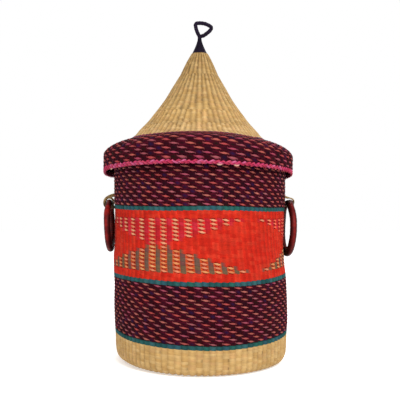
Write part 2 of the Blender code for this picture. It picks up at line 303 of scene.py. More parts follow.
def times(tree, colour, value):
    return add_node(tree, "VectorMath", "Vector", {0: colour, "Scale": value}, operation="SCALE")


def painted(tree):
    return add_node(tree, "Attribute", "Color", {}, attribute_name="paint")


def bump(tree, height, strength, distance):
    return add_node(tree, "Bump", "Normal", {"Strength": strength, "Distance": distance, "Height": height})


def grass(name, streak, rough, specular):
    """The painted colour with fine lengthwise fibres and soft blotches."""
    material, tree, inputs = new_material(name)
    strand = add_node(tree, "UVMap", "UV", {}, uv_map="strand")
    place = add_node(tree, "TexCoord", "Object", {})
    fibres = noise(tree, stretch(tree, strand, (70, 1500, 1)), 3.0)
    blotch = noise(tree, stretch(tree, place, (55, 55, 90)), 2.0)
    colour = times(tree, painted(tree), span(tree, fibres, 1 - streak, 1 + streak, 0.25, 0.75))
    looks = {
        "Base Color": times(tree, colour, span(tree, blotch, 0.86, 1.14, 0.25, 0.75)),
        "Roughness": span(tree, fibres, *rough),
        "Specular IOR Level": specular,
        "Normal": bump(tree, fibres, 0.4, 0.0005),
    }
    fill(tree, inputs, looks)
    return material


def leather(name, colour, worn, rough, specular):
    """A fine grain, with a lighter, smoother worn colour here and there."""
    material, tree, inputs = new_material(name)
    place = add_node(tree, "TexCoord", "Object", {})
    wide = noise(tree, stretch(tree, place, (60, 60, 60)), 4.0, 0.6)
    wear = span(tree, wide, 0.0, 1.0, 0.38, 0.72)
    colours = {"A": (*colour, 1), "B": (*worn, 1), "Factor": wear}
    mixed = add_node(tree, "Mix", "Result", colours, data_type="RGBA")
    grain = add_node(tree, "TexVoronoi", "Distance", {"Scale": 900.0, "Vector": place})
    fine = noise(tree, place, 2.0, scale=540.0)
    height = add_node(tree, "Math", "Value", {0: grain, 1: 0.6, 2: fine}, operation="MULTIPLY_ADD")
    product = add_node(tree, "VectorMath", "Vector", {0: mixed, 1: painted(tree)}, operation="MULTIPLY")
    looks = {
        "Base Color": product,
        "Roughness": span(tree, wide, rough[1], rough[0], 0.3, 0.7),
        "Specular IOR Level": specular,
        "Normal": bump(tree, height, 0.35, 0.0004),
    }
    fill(tree, inputs, looks)
    return material


grass_dyed = grass("grass_dyed", 0.3, (0.62, 0.84), 0.04)
grass_plain = grass("grass_plain", 0.2, (0.55, 0.75), 0.14)
leather_brown = leather("leather_brown", lin(84, 5, 8), lin(146, 26, 18), (0.42, 0.62), 0.1)
leather_black = leather("leather_black", lin(14, 8, 20), lin(26, 16, 36), (0.5, 0.7), 0.05)


# The walls' lines
HALF_WALL = 0.003


def make_line(*knots):
    """A line of (radius, height) points with its corners cut once, and its arc lengths."""
    points = np.array(knots)
    cut = [points[0]]
    for a, b in zip(points, points[1:]):
        cut += [a * 0.75 + b * 0.25, a * 0.25 + b * 0.75]
    points = np.array(cut + [points[-1]])
    arc = np.concatenate([[0], np.cumsum(np.linalg.norm(np.diff(points, axis=0), axis=1))])
    return points, arc


def middle_at(line, s):
    """A point in a wall's middle, its tangent and its normal, at an arc length of its line."""
    points, arc = line
    s = min(max(s, 0.0), arc[-1])
    low, here, high = (
        np.array([np.interp(place, arc, points[:, j]) for j in (0, 1)])
        for place in (max(s - 0.003, 0.0), s, min(s + 0.003, arc[-1]))
    )
    along = (high - low) / np.linalg.norm(high - low)
    normal = np.array([along[1], -along[0]])
    return here - normal * HALF_WALL, along, normal


def arc_at(line, z):
    """The arc length where a line reaches a height."""
    points, arc = line
    return np.interp(z, points[:, 1], arc)


body_line = make_line(
    (0.0, 0.0), (0.164, 0.0), (0.176, 0.003), (0.183, 0.009), (0.1862, 0.02), (0.1865, 0.05),
    (0.1875, 0.064), (0.189, 0.08), (0.1894, 0.12), (0.1882, 0.163), (0.188, 0.185), (0.1868, 0.207),
    (0.1862, 0.225), (0.1866, 0.28), (0.1874, 0.34), (0.1876, 0.4495),
)
lid_line = make_line(
    (0.2066, 0.4105), (0.2068, 0.44), (0.206, 0.4475), (0.2042, 0.4515), (0.2014, 0.4559),
    (0.1964, 0.4603), (0.1905, 0.4647), (0.1824, 0.4691), (0.172, 0.4735), (0.159, 0.4779),
    (0.1478, 0.4823), (0.1398, 0.4867), (0.1348, 0.4911), (0.1306, 0.4955), (0.1222, 0.5043),
    (0.1138, 0.5131), (0.1064, 0.5219), (0.1, 0.5307), (0.0933, 0.5395), (0.0867, 0.5483),
    (0.0803, 0.5571), (0.0742, 0.5659), (0.0689, 0.5747), (0.0639, 0.5835), (0.059, 0.5923),
    (0.0534, 0.6011), (0.0484, 0.6099), (0.0429, 0.6187), (0.039, 0.6275), (0.035, 0.6363),
    (0.0309, 0.6451), (0.0265, 0.6539), (0.0215, 0.6627), (0.0178, 0.669),
)


# How the walls are uneven

# How far the body's rows rise, in mm, at each height: all round, with the cosine and the sine of the angle,
# then of twice the angle
ROW_HEIGHTS = (0.0, 0.062, 0.1864, 0.331, 0.449)
ROW_WAVES = (
    (0.0, 0.0, 0.0, 0.0, 0.0),
    (1.9, -1.96, -1.16, -3.24, -0.93),
    (-0.08, -1.22, -0.46, -1.79, -1.98),
    (-0.83, 0.43, -2.45, 1.03, 0.42),
    (-0.3, 0.2, -0.8, 0.3, 0.2),
)
# How far round the body's stakes stray, in degrees: a row for each height
STRAY_HEIGHTS = (0.096, 0.176, 0.208, 0.31, 0.347, 0.392)
STRAY_ANGLES = np.radians((-180, -110, -53.6, -38.3, -23, -7.7, 7.7, 23, 38.3, 53.6, 110, 180))
STRAY = np.radians([
    (0, -2, -1.8, -2.1, -0.6, 2.2, 3.3, 4.7, 6.0, 7.0, 4, 0),
    (0, -1.5, -1.9, -1.5, 0.3, 2.0, 3.8, 4.8, 5.6, 5.0, 3, 0),
    (0, 0, 0.5, 0.6, 1.2, 2.9, 4.4, 5.0, 6.0, 7.0, 4, 0),
    (0, -1, -1.7, -0.5, 0.3, 0.7, 1.1, 1.3, 1.9, 1.8, 1, 0),
    (0, -1.5, -2.5, -1.4, -1.5, -1.1, 1.1, 0.9, -0.2, 0, 0, 0),
    (0, -2, -3.8, -3.2, -3.0, -1.1, 0.5, 0.6, 0.3, 0.1, 0, 0),
])
# From here each table is heights or angles, and what holds there, in mm. First how far the body leans to +X,
# and how far its wall is drawn in
LEAN = (
    (0, 0.05, 0.09, 0.12, 0.163, 0.185, 0.2, 0.22, 0.25, 0.3, 0.34, 0.37),
    (3.0, 3.6, 3.4, 2.4, 1.8, 0.4, -0.8, -2.0, -1.8, -1.0, -0.4, 0.0),
)
WAIST = ((0.228, 0.252, 0.328, 0.344), (0, 2.1, 2.1, 0))
# How far the rows near the upper teal line rise at each angle, and the share of that at each height
TEAL_LIFT = (
    np.radians((-180, -95, -77, -60, -45, -25, -10, 5, 20, 40, 80, 120, 180)),
    (0, 1.0, 1.8, 0.4, -0.8, -2.3, -0.8, -0.3, -0.6, -1.5, -1.7, -0.5, 0),
)
TEAL_SHARE = ((0.3, 0.325, 0.345, 0.375), (0, 1, 1, 0))
# How far the rows at the right sink at each height, and the share of that at each angle
RIGHT_DROP = ((0.05, 0.08, 0.1, 0.3, 0.34, 0.36, 0.42), (0, -1.5, -1.2, 0, 0, 2.2, 3.5))
RIGHT_SHARE = (np.radians((-180, 25, 38, 52, 110, 180)), (0, 0, 0.65, 1, 0.5, 0))
# How far the foot's corner rises
FOOT_LIFT = (
    np.radians((-180, -120, -80, -59, -48, -40, -33, -25, -12, 0, 58, 72, 95, 130, 180)),
    (0, 2.5, 4.6, 5.2, 4.1, 3.5, 2.4, 1.6, 0.4, 0, 0, 2.6, 2.2, 0, 0),
)
# How far the lid's hem rises at the sides and back
HEM_LIFT = (np.radians((-180, -110, -92, -68, 68, 92, 110, 180)), (-1, -4.0, -3.6, 0, 0, -1.4, -2, -1))
# How far the lid's front rises and its sides sink
FRONT_LIFT = (
    (0.4125, 0.4154, 0.4251, 0.4349, 0.4446, 0.4541, 0.4618, 0.4691, 0.4735, 0.4779, 0.4823, 0.4867, 0.49),
    (0.0, 3.2, 2.9, 3.8, 4.2, 5.7, 6.3, 5.5, 4.7, 3.9, 2.1, 0.8, 0.0),
)
SIDE_DROP = ((0.44, 0.452, 0.48, 0.4955), (0, 4.3, 4.6, 0))
# How far the border between brim and cone sinks at each angle, and the share of that at each height
BORDER_DROP = (
    np.radians((-180, -75, -60, -45, -30, -12, 0, 12, 22, 38, 52, 64, 180)),
    (0, 0, 0.8, 1.9, 2.2, 1.4, 1.2, 0.6, 0.9, 2.2, 2.6, 0.5, 0),
)
BORDER_SHARE = ((0.4735, 0.4823, 0.4911, 0.53), (0, 1, 1, 0))
# How far round the stakes of the lid's skirt and brim stray, as angles
LID_ANGLES = np.radians((-180, -110, -54, -43, -23, -16, -8, 0, 12, 21, 31, 41, 50, 110, 180))
SKIRT_STRAY = (LID_ANGLES, np.radians((0, 0.5, 1.0, 0.8, 0, 0, 0, 0, 0.6, 0.9, 1.0, 1.6, 2.3, 1.5, 0)))
BRIM_STRAY = (LID_ANGLES, np.radians((0, 0.5, 1, 1, -0.7, -0.9, -0.3, 0, 0.9, 1, 1, 1, 1, 1, 0)))
# The lid leans by this slope, about this height
LID_TILT, TILT_HEIGHT = 0.017, 0.63


def polar(points):
    return np.arctan2(points[:, 0], -points[:, 1]), np.hypot(points[:, 0], points[:, 1]), points[:, 2]


def stray(theta, z):
    rows = np.stack([np.interp(theta, STRAY_ANGLES, row) for row in STRAY])
    place = np.interp(z, STRAY_HEIGHTS, np.arange(len(STRAY)))
    low = np.minimum(place.astype(int), len(STRAY) - 2)
    share = place - low
    index = np.arange(len(theta))
    return rows[low, index] * (1 - share) + rows[low + 1, index] * share


def body_warp(points):
    """The body's rows rise and fall, its middle leans, and its wall isn't quite round."""
    theta, radius, z = polar(points)
    waves = [np.ones_like(theta), np.cos(theta), np.sin(theta), np.cos(2 * theta), np.sin(2 * theta)]
    lift = sum(np.interp(z, ROW_HEIGHTS, sizes) * wave for sizes, wave in zip(np.transpose(ROW_WAVES), waves))
    lift += 0.3 * np.sin(7 * theta + 2 + 30 * z) + 0.2 * np.sin(11 * theta + 40 * z)
    lift += np.interp(z, *TEAL_SHARE) * np.interp(theta, *TEAL_LIFT)
    lift -= np.interp(z, *RIGHT_DROP) * np.interp(theta, *RIGHT_SHARE)
    # The floor's middle stays flat
    wall = unit((radius - 0.1) / 0.06) * unit(z / 0.03)
    puff = 0.4 * np.sin(3 * theta + 0.7 + 6 * z) + 0.35 * np.sin(5 * theta + 2.9 - 13 * z)
    radius += (wall * puff - np.interp(z, *WAIST)) * MM
    # The foot is 2 mm narrower at the left
    left_foot = unit((0.04 - z) / 0.035) * unit(-np.sin(theta)) * unit(radius / 0.15)
    radius -= 2.0 * MM * left_foot
    corner = unit((0.042 - z) / 0.03) * unit((radius - 0.14) / 0.035)
    height = z + (lift * wall + np.interp(theta, *FOOT_LIFT) * corner) * MM
    theta += stray(theta, z)
    x = radius * np.sin(theta) + np.interp(z, *LEAN) * MM * unit(z / 0.004)
    return np.stack([x, -radius * np.cos(theta), height], -1)


def lid_warp(points):
    """The lid sits askew, rises at the front and sinks at the sides."""
    theta, radius, z = polar(points)
    front = unit((np.cos(theta) + 0.35) / 0.6)
    front = front * front * (3 - 2 * front)
    hem = front * (7.5 + 1.44 * np.cos(theta) + 4.07 * np.cos(2 * theta)) + (1 - front) * -2.0
    hem += np.interp(theta, *HEM_LIFT)
    low = np.clip((0.448 - z) / 0.0375, 0, 1.2)
    shoulder = 7.0 * unit(np.cos(theta)) ** 1.2
    lift = low * hem + (1 - np.minimum(low, 1)) * shoulder * unit((0.4865 - z) / 0.028)
    lift += np.interp(z, *FRONT_LIFT) * np.cos(np.clip(theta * 1.9, -math.pi / 2, math.pi / 2))
    side = np.where(theta < 0, 1.08, 0.86) * unit((1 - np.cos(theta)) / 0.68)
    lift -= np.interp(z, *SIDE_DROP) * side
    lift -= np.interp(z, *BORDER_SHARE) * np.interp(theta, *BORDER_DROP)
    lift += 0.35 * np.sin(5 * theta + 1.1 + 8 * z) * unit(radius / 0.2)
    puff = 1 + 0.0006 * np.sin(3 * theta + 0.4 + 9 * z) / np.maximum(radius, 0.05)
    brim = unit((z - 0.4446) / 0.012)
    turned = theta + np.interp(theta, *SKIRT_STRAY) * (1 - brim)
    turned = turned + np.interp(theta, *BRIM_STRAY) * brim * unit((0.49 - z) / 0.005)
    x, y = radius * np.sin(turned) * puff, -radius * np.cos(turned) * puff
    height = z + lift * MM
    return np.stack([x + LID_TILT * (height - TILT_HEIGHT), y, height - LID_TILT * x], -1)


# Twined rows

# Points along a strand from one stake to the next
SAMPLES = 6
# A strand's outline from its crest up and round: outward in half thicknesses, upward in half heights
FLECK_SECTION = (np.array([1, 0.55, -0.62, -1, -0.62, 0.55]), np.array([0, 1, 1, 0, -1, -1.0]))
PLAIN_SECTION = (
    np.array([1, 0.96, 0.7, -0.8, -1, -0.8, 0.7, 0.96]), np.array([0, 0.66, 1, 1, 0, -1, -1, -0.66]),
)
# What rows without flecks and the red band's rows have of their own
PLAIN = dict(bulge=0.0018, thick=0.0011, rise=0.0006, full=0.56, section=PLAIN_SECTION)
TRIANGLES = PLAIN | dict(rise=0.0014, tall=0.28, outward=0.26, step=0)


def twined_row(
    store, middle, along, normal, stakes, parity, rule, pitch, wander, theta0=0.0, bulge=0.0015, thick=0.0013,
    rise=0.0011, full=0.58, tall=0.25, outward=0.36, section=FLECK_SECTION,
):
    """Two strands that turn about each other between the stakes.

    rule is 1 for each stake that a slim fleck crosses, and a function that paints. bulge is how far strands
    swing out, outward a fleck's share more of it, rise their slant and thick their half thickness. full and
    tall are a strand's and a fleck's half height, in pitches."""
    flecks, paint_of = rule
    s = np.arange(stakes * SAMPLES) / SAMPLES
    theta = theta0 + s * TAU / stakes + wander
    radial = outward_at(theta)
    out = radial * normal[0] + UP * normal[1]
    climb = radial * along[0] + UP * along[1]
    for strand in (0, 1):
        # Each strand is in front of every second stake and behind the others
        shift = parity + strand
        front_stake = (np.round((s - shift) / 2) * 2 + shift).astype(int)
        back_stake = (np.round((s - shift - 1) / 2) * 2 + shift + 1).astype(int)
        ahead, behind = s - front_stake, s - back_stake
        front_fleck, back_fleck = flecks[front_stake % stakes], flecks[back_stake % stakes]
        reach = front_fleck * unit((1 - np.abs(ahead)) / 0.3) - back_fleck * unit((1 - np.abs(behind)) / 0.3)
        depth = np.cos(math.pi * ahead) + outward * reach
        in_front = depth >= 0
        lens = unit(depth / (1 + outward))
        slim = front_fleck * in_front
        slant = slim * np.clip(ahead / 0.617, -1, 1) + (1 - slim) * 0.6 * np.sin(math.pi * ahead)
        nudge = rng.normal(0, 0.00014, stakes)[front_stake % stakes] * in_front
        path = (
            radial * middle[0] + UP * middle[1]
            + out * (bulge * depth)[:, None] + climb * (nudge - rise * slant)[:, None]
        )
        half_height = pitch * (full * (1 - slim) + (0.015 + tall * lens ** 0.85) * slim)
        half_thick = thick * (1 - 0.35 * slim * (1 - 0.4 * lens))
        stake = np.where(in_front, front_stake, back_stake) % stakes
        paint = paint_of(stake, np.where(in_front, ahead, behind), in_front, slim > 0)
        if section is PLAIN_SECTION:
            # Its crest has three points of one colour
            paint = paint[:, (0, 0, 1, 2, 3, 4, 5, 0)]
        store.tube(
            path, out, climb, half_thick, half_height, paint, sides=len(section[0]),
            metres=TAU * max(middle[0], 0.01), section=section,
        )


def stake_wander(stakes):
    """Small uneven steps between the stakes, the same in every row."""
    steps = np.random.default_rng(stakes).normal(0, 0.36 / max(stakes, 60), stakes)
    places = np.arange(stakes * SAMPLES) / SAMPLES
    return np.interp(places, np.arange(stakes + 1), np.append(steps, steps[0]))


def add_rows(store, line, start, end, rows, stakes, kind, flip=0, step=1, uneven=True, **options):
    """Twined rows between two arc lengths of a wall's line.

    stakes is a number or a function of the row's place. kind is a function that makes a row's rule, and what
    else it takes. flip is the first row's parity, and step is 0 where all the rows share it."""
    rule_of, *looks = kind
    pitch = (end - start) / rows
    for number in range(rows):
        middle, along, normal = middle_at(line, start + (number + 0.5) * pitch)
        count = stakes(middle) if callable(stakes) else stakes
        parity = (number * step + flip) % 2
        wander = stake_wander(count) if uneven else 0.0
        rule = rule_of(count, parity, number, *looks)
        twined_row(store, middle, along, normal, count, parity, rule, pitch, wander, **options)


def band(name, wall, start, end, rows, kind, nodes, slot, material=grass_dyed, **options):
    """A piece of twined rows. wall is a line, its stakes, the first one's angle, a body and a warp."""
    line, stakes, theta0, body, warp = wall
    store = Store()
    add_rows(store, line, start, end, rows, stakes, kind, theta0=theta0, **options)
    store.build(name, material, body, nodes, warp)


# How the rows are painted
def across(paint, crest, top, bottom):
    """A strand's colours spread over its outline: its crest, its upper edge and back, its lower edge.

    Each is scaled by its own share: below 1 it is painted shade, above 1 a painted highlight.
    """
    return paint[:, None, :] * np.array([crest, top, top, top, bottom, bottom])[None, :, None]


def fade(offset, start, strength):
    """How far one end of a fleck has faded."""
    return np.clip(offset - start, 0, 0.4)[:, None] * strength


def flecked(stakes, parity, number, fleck, ground=GROUND, edge=MAROON):
    """Flecks on every second stake, over dark strands."""
    bright = pick(fleck, stakes, 0.13)
    core = pick(ground, stakes, 0.25)
    rim = pick(edge, stakes, 0.22)
    tip = pick(FLECK_END, stakes, 0.2)

    def paint_of(stake, offset, in_front, slim):
        # Painted shade: a fleck is darker at its edges and back, a dark strand dimmer away from the middle of
        # its crest and where it runs behind; a fleck also darkens towards its right end
        left, right = fade(-offset, 0.22, 1.6), fade(offset, 0.22, 1.5)
        lens = (bright[stake] * (1 - left) + tip[stake] * left) * (1 - right)
        middle = unit(1 - np.abs(offset) / 0.45)[:, None]
        dark = np.repeat(rim[stake][:, None, :], 6, 1)
        dark[:, 0] = core[stake] * middle + rim[stake] * 0.6 * (1 - middle)
        dark = np.where(in_front[:, None, None], dark, rim[stake][:, None, :] * 0.8)
        return np.where(slim[:, None, None], across(lens, 1.0, 0.46, 0.36), dark)

    return ((np.arange(stakes) - parity) % 2 == 0).astype(float), paint_of


def plain(stakes, parity, number, palette, spread, seam, edges, speck=0.0):
    """Both strands of one kind of grass.

    seam and edges are their light where they cross and at their edges, below 1 as painted shade and above 1
    as painted highlight. speck is the share of dark crossings."""
    tint = 1 + np.random.default_rng(1000 + stakes).normal(0, 0.035, stakes)
    colour = pick(palette, stakes, spread) * tint[:, None]
    spot = np.where(rng.random(stakes) < speck, 0.62, 1.0)

    def paint_of(stake, offset, in_front, slim):
        crest = np.cos(math.pi * np.clip(offset, -0.5, 0.5)) ** 2
        low = seam * np.where(offset > 0, spot[stake], 1.0)
        return across(colour[stake] * (low + (1 - low) * crest)[:, None], 1.0, *edges)

    return np.zeros(stakes), paint_of


def brim_flecks(stakes, parity, number):
    """Flecks whose last rows have a paler, more purple ground."""
    palettes = (FLECK_LID,) if number < 6 else (FLECK_BRIM, GROUND_BRIM, GROUND_BRIM)
    return flecked(stakes, parity, number, *palettes)


def cone_straw(stakes, parity, number):
    """Straw that darkens to the tip, with painted shade in the seams between its ribs."""
    seam = np.interp(number, (0, 8, 20), (0.72, 0.66, 0.6))
    none, paint_of = plain(stakes, parity, number, STRAW, 0.08, seam, (0.97, 0.95), 0.16)
    tone = np.interp(number, (0, 6, 12, 24, 35), (1.12, 1.08, 1.05, 0.92, 0.76))
    tone = tone * (1 + rng.uniform(-0.07, 0.07))
    tint = np.ones(3) + np.array([0, 0.02, 0.16]) * np.interp(number, (0, 8), (1, 0))
    return none, lambda *args: paint_of(*args) * tone * tint


STRAW_ROWS = (plain, STRAW, 0.05, 0.84, (0.95, 0.93), 0.03)
TEAL_ROWS = (plain, TEAL, 0.2, 0.74, (0.36, 0.95))
BORDER_ROWS = (plain, PURPLE, 0.2, 0.8, (0.8, 0.8))
# The red band's rows, the rows of its pattern, and the first stake of each of its three repeats
RED_ROWS, PATTERN_ROWS, REPEATS = 18, 14, (-20, 11, 42)


def column_lengths(stakes):
    """The rows of flecks over each stake: 1 to 7 and back to 1, on every second stake."""
    lengths = np.zeros(stakes, int)
    for first in REPEATS:
        for number in range(PATTERN_ROWS):
            lengths[(first + 2 * number) % stakes] = min(number + 1, PATTERN_ROWS - number)
    return lengths


def triangles(stakes, parity, number):
    """The red band: triangles of flecks that hang from the top, and others that stand below."""
    # The red is painted lighter where its strands cross and at their edges: painted highlight lines
    none, plain_paint = plain(stakes, parity, number, RED, 0.025, 1.34, (1.14, 1.08))
    from_top = RED_ROWS - 3 - number
    from_foot = PATTERN_ROWS - 1 - from_top
    if from_top < 0 or from_foot < 0:
        return none, plain_paint
    here = column_lengths(stakes)
    # Between two columns of flecks the grass changes colour too, as far as the longer one
    between = np.where(here > 0, 0, np.maximum(np.roll(here, 1), np.roll(here, -1)))
    high = from_top < here
    flecks = (high | (from_foot < here)).astype(float)
    # The upper flecks fade into the red at the right
    faded = np.interp(np.arange(stakes), (11, 14, 22, 26), (0, 0.5, 0.5, 0))[:, None]
    pale_high = pick(PALE_HIGH, stakes, 0.06) * (1 - faded) + RED[2] * faded
    pale = np.where(high[:, None], pale_high, pick(PALE_LOW, stakes, 0.06))
    # Painted shade: the colours of the strand under and beside each fleck, in the upper and the lower
    # triangles
    under = np.where(high[:, None], lin(186, 36, 34), lin(168, 60, 26))
    beside_high = from_top < between
    beside = np.where(beside_high[:, None], pick(CRIMSON, stakes, 0.06), pick(OLIVE, stakes, 0.09))
    covered = beside_high | (from_foot < between)
    # The last row of that colour ends slanting, towards the longer column
    last = (from_top == between - 1) | (from_foot == between - 1)
    slope = np.where(np.roll(here, -1) > np.roll(here, 1), 1.0, -1.0)

    def paint_of(stake, offset, in_front, slim):
        base = plain_paint(stake, offset, in_front, slim)
        # Painted shade: the grass beside the flecks is darker where it crosses and at its edges
        rib = (0.9 + 0.1 * np.cos(math.pi * offset) ** 2)[:, None]
        side = across(beside[stake] * rib, 1.0, 0.86, 0.84)
        share = np.where(last[stake], unit(0.5 + 1.6 * offset * slope[stake]), 1.0)[:, None, None]
        paint = np.where(covered[stake][:, None, None], side * share + base * (1 - share), base)
        # The strand that partners a fleck takes that painted shade colour
        second = (flecks[stake] > 0) & ~slim
        paint = np.where(second[:, None, None], under[stake][:, None, :], paint)
        left, right = fade(-offset, 0.25, 1.5), fade(offset, 0.35, 1.2)
        lens = pale[stake] * (1 - left) * (1 - right) + lin(200, 110, 90) * left * 0.6
        # The pale fleck has painted shade at its edges, with red blended in there
        red_blend = across(np.tile(RED[0] * 0.8, (len(lens), 1)), 0.0, 0.3, 0.55)
        return np.where(slim[:, None, None], across(lens, 1.0, 0.7, 0.45) + red_blend, paint)

    return flecks, paint_of


# Floor and body
STAKES = 94
# The arc lengths where the floor's rows start, round a plaited square, and end, at the foot's corner
FLOOR_START, FLOOR_END = 0.014, 0.162


def from_tiers(tiers, place):
    """The count of the last tier that starts before a place."""
    return [count for start, count in tiers if place >= start][-1]


def floor_stakes(middle):
    """Fewer stakes go on to the floor's middle."""
    return from_tiers(((0, 24), (0.046, 48), (0.098, STAKES)), middle[0])


store = Store()
add_rows(store, body_line, FLOOR_START, FLOOR_END, 21, floor_stakes, STRAW_ROWS, uneven=False, **PLAIN)
# The square: five flat stakes each way, over and under each other
CROSS_GAP, CROSS_REACH = 0.0058, 0.0155
t = np.linspace(-CROSS_REACH, CROSS_REACH, 9)
for number in range(5):
    for turn in (0, 1):
        aside = np.full(9, (number - 2) * CROSS_GAP)
        weave = 0.0009 * np.cos(math.pi * (t / CROSS_GAP + number + turn))
        x, y = (t, aside) if turn == 0 else (aside, t)
        side = Y_AXIS if turn == 0 else X_AXIS
        path = np.stack([x, y, HALF_WALL + weave], -1)
        store.tube(
            path, np.tile(UP, (9, 1)), np.tile(side, (9, 1)), 0.0013, 0.0027, pick(STRAW, 9, 0.03),
            closed=False, metres=0.03,
        )
floor_nodes = ["base_floor", "body_inner_floor"]
store.build("floor_weave", grass_plain, "basket", floor_nodes, body_warp)

BODY = (body_line, STAKES, 0.0, "basket", body_warp)
band(
    "natural_band_weave", BODY, FLOOR_END, arc_at(body_line, 0.058), 12, STRAW_ROWS,
    ["base_corner", "base_band_natural", "body_inner_corner"], "straw_weave", grass_plain, **PLAIN,
)
# The other bands from the foot up, between two heights
BODY_BANDS = (
    ("teal_row_low", 0.058, 0.0662, 1, TEAL_ROWS, ["teal_line_low"], "teal_weave", PLAIN),
    (
        "fleck_weave_low", 0.0662, 0.1824, 15, (flecked, FLECK), ["fleck_band_low"],
        "flecked_weave", dict(flip=1),
    ),
    ("teal_row_mid", 0.1824, 0.1904, 1, TEAL_ROWS, ["teal_line_mid"], "teal_weave", PLAIN),
    ("diamond_weave", 0.1904, 0.327, RED_ROWS, (triangles,), ["diamond_band"], "red_weave", TRIANGLES),
    ("teal_row_high", 0.327, 0.335, 1, TEAL_ROWS, ["teal_line_high"], "teal_weave", PLAIN),
    (
        "fleck_weave_high", 0.335, 0.4492, 14, (flecked, FLECK), ["fleck_band_high", "body_inner_weave"],
        "flecked_weave", dict(flip=1),
    ),
)
for name, low, high, rows, kind, nodes, slot, options in BODY_BANDS:
    band(name, BODY, arc_at(body_line, low), arc_at(body_line, high), rows, kind, nodes, slot, **options)


# Stakes
def stakes_along(store, line, start, end, count, theta0, paint_at):
    """Flat grass stakes that run up a wall's middle. paint_at gives their colour at a height."""
    steps = max(3, int((end - start) / 0.012))
    places = [middle_at(line, s) for s in np.linspace(start, end, steps)]
    middles, _, normals = (np.array(values) for values in zip(*places))
    paint = np.array([paint_at(z) for z in middles[:, 1]])
    wander = stake_wander(count)[::SAMPLES]
    for theta in theta0 + circle(count) + wander:
        radial = outward_at(theta)
        side = np.array([math.cos(theta), math.sin(theta), 0])
        store.tube(
            radial * middles[:, :1] + UP * middles[:, 1:], radial * normals[:, :1] + UP * normals[:, 1:],
            np.tile(side, (steps, 1)), 0.0006, 0.0022, paint * rng.uniform(0.8, 1.1), closed=False,
            metres=end - start,
        )


def body_stake_paint(z):
    if z < 0.06:
        return STAKE_STRAW
    return STAKE_RED if 0.1904 < z < 0.327 else STAKE_DARK


store = Store()
stakes_along(store, body_line, 0.096, arc_at(body_line, 0.448), STAKES, 0.0, body_stake_paint)
store.build("body_stake_set", grass_plain, "basket", ["body_stakes"], body_warp)


# Braids
def braid(store, radius, height, repeats, palette, wide, deep, half, faces_up, shade):
    """Three strands plaited round a circle, with the flat side up or outward.

    wide and deep are how far they swing along and off it, half their half widths, shade their least light."""
    count, sides = repeats * 20, 8
    t, around = circle(count), circle(sides)
    radial, upward = outward_at(t), np.tile(UP, (count, 1))
    first, second = (radial, upward) if faces_up else (upward, radial)
    # Painted shade: each strand darker on its back, and on its lower side if the plait faces up, its inner
    # side if it faces out
    facing_shade = np.where(np.sin(around) < -0.3, 0.35, 1.0) * (1 - 0.22 * unit(-np.cos(around)))
    for strand in range(3):
        phase = repeats * t + TAU * strand / 3
        path = radial * radius + upward * height
        path = path + first * (wide * np.sin(phase))[:, None] + second * (deep * np.sin(2 * phase))[:, None]
        # Painted light and shade along the plait: each strand lighter where it stands out, darker where it
        # tucks in
        light = (0.5 + 0.5 * np.sin(2 * phase))[:, None] * (0.8 + 0.2 * np.sin(phase))[:, None]
        colours = np.repeat(pick(palette, count // 10, 0.12), 10, 0) * (shade + (1 - shade) * light)
        paint = colours[:, None, :] * facing_shade[None, :, None]
        store.tube(path, first, second, half[0], half[1], paint, sides=sides, metres=TAU * radius)


store = Store()
braid(store, 0.1838, 0.4518, 34, PURPLE, 0.0022, 0.001, (0.0021, 0.002), True, 0.7)
store.build("rim_braid", grass_dyed, "basket", ["body_rim_braid"], body_warp)


# Lid
LID_STAKES = 80
LID_THETA0 = math.radians(0.5)
skirt_end = arc_at(lid_line, 0.4495)
border_end = arc_at(lid_line, 0.4851)
brim_end = border_end - 0.013
cone_end = lid_line[1][-1] - 0.0005
# The heights from which the cone has so many stakes
TIERS = ((0.0, 74), (0.5045, 56), (0.532, 38), (0.6184, 24))


def cone_stakes(middle):
    return from_tiers(TIERS, middle[1])


LID = (lid_line, LID_STAKES, LID_THETA0, "lid", lid_warp)
CONE = (lid_line, cone_stakes, LID_THETA0, "lid", lid_warp)
band(
    "lid_skirt_weave", LID, 0.0002, skirt_end, 4, (flecked, FLECK_LID), ["lid_skirt_band", "lid_inner_skirt"],
    "flecked_weave",
)
band(
    "lid_brim_weave", LID, skirt_end, brim_end, 8, (brim_flecks,), ["lid_brim_band", "lid_inner_brim"],
    "flecked_weave", tall=0.33,
)
band(
    "lid_border_weave", LID, brim_end, border_end, 2, BORDER_ROWS, ["lid_border_row"], "purple_weave", **PLAIN
)
band(
    "lid_cone_rows", CONE, border_end, cone_end, 36, (cone_straw,), ["lid_cone_weave", "lid_inner_cone"],
    "straw_weave", grass_plain, **PLAIN,
)

store = Store()
stakes_along(store, lid_line, 0.001, border_end, LID_STAKES, LID_THETA0, lambda z: STAKE_DARK)
tops = [arc_at(lid_line, height) for height, _ in TIERS[1:]] + [cone_end]
for low, high, (_, count) in zip([border_end] + tops, tops, TIERS):
    stakes_along(store, lid_line, low, high, count, LID_THETA0, lambda z: STAKE_STRAW)
store.build("lid_stake_set", grass_plain, "lid", ["lid_stakes"], lid_warp)

